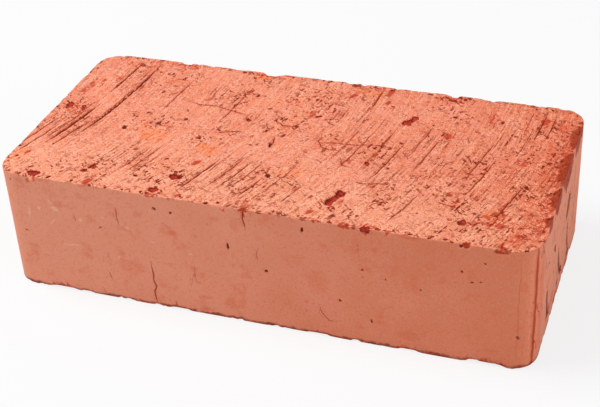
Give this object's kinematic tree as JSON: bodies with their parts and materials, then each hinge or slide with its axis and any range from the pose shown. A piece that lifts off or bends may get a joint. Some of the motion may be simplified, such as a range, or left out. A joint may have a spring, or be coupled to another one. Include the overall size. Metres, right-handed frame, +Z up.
{
  "type": "clay brick",
  "caption": "Solid wire-cut clay brick with smooth sides, rounded upright corners and wire-scored flat beds, laid in mortar as a building unit.",
  "frame": {"origin": "middle of the lower bed, on the surface that the brick lies on", "axes": "+X along the length towards the right end, +Y across the width from the front stretcher to the back one, +Z up through the height"},
  "size_m": [0.25, 0.12, 0.062],
  "materials": {
    "fired_clay": "matt fired clay, smooth on the sides and scored on the beds"
  },
  "bodies": {
    "root": {"brick": "fired_clay"}
  },
  "joints": []
}
